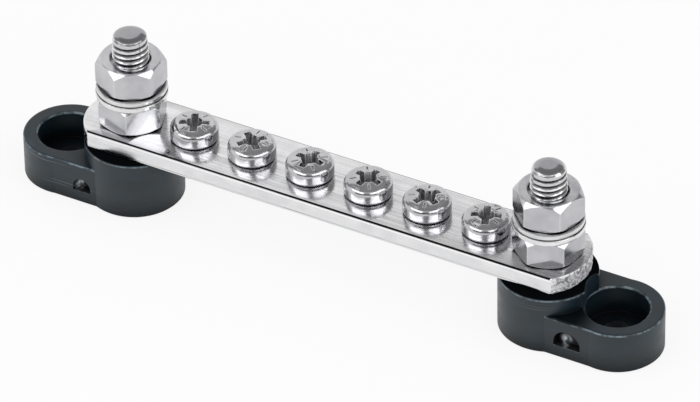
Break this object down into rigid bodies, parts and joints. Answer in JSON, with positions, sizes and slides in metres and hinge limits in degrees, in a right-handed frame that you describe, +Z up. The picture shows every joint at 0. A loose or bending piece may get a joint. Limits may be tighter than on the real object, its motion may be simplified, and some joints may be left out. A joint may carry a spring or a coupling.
{
  "type": "bus bar",
  "caption": "Flat plated bar with a row of terminal screws between two nut-clamped studs, standing on two moulded insulating feet with recessed mounting holes.",
  "frame": {"origin": "centre of the footprint, on the surface that the feet stand on", "axes": "+X along the bar, +Z up along the studs, +Y across the bar"},
  "size_m": [0.114, 0.016, 0.0308],
  "materials": {
    "plated_bar": "tin plated, bright, lightly brushed",
    "foot_nylon": "moulded, satin",
    "stud_steel": "rolled thread, plain stainless",
    "nut_steel": "plated, bright",
    "washer_steel": "plated, tumbled",
    "spring_steel": "plated, dull",
    "screw_plating": "nickel plated, satin"
  },
  "bodies": {
    "root": {"bus_bar": "plated_bar", "foot_left": "foot_nylon", "foot_right": "foot_nylon", "stud_left": "stud_steel", "stud_right": "stud_steel", "lower_nut_left": "nut_steel", "lower_nut_right": "nut_steel", "flat_washer_left": "washer_steel", "flat_washer_right": "washer_steel", "spring_washer_left": "spring_steel", "spring_washer_right": "spring_steel", "top_nut_left": "nut_steel", "top_nut_right": "nut_steel", "terminal_screw_1": "screw_plating", "terminal_screw_2": "screw_plating", "terminal_screw_3": "screw_plating", "terminal_screw_4": "screw_plating", "terminal_screw_5": "screw_plating", "terminal_screw_6": "screw_plating"}
  },
  "joints": []
}
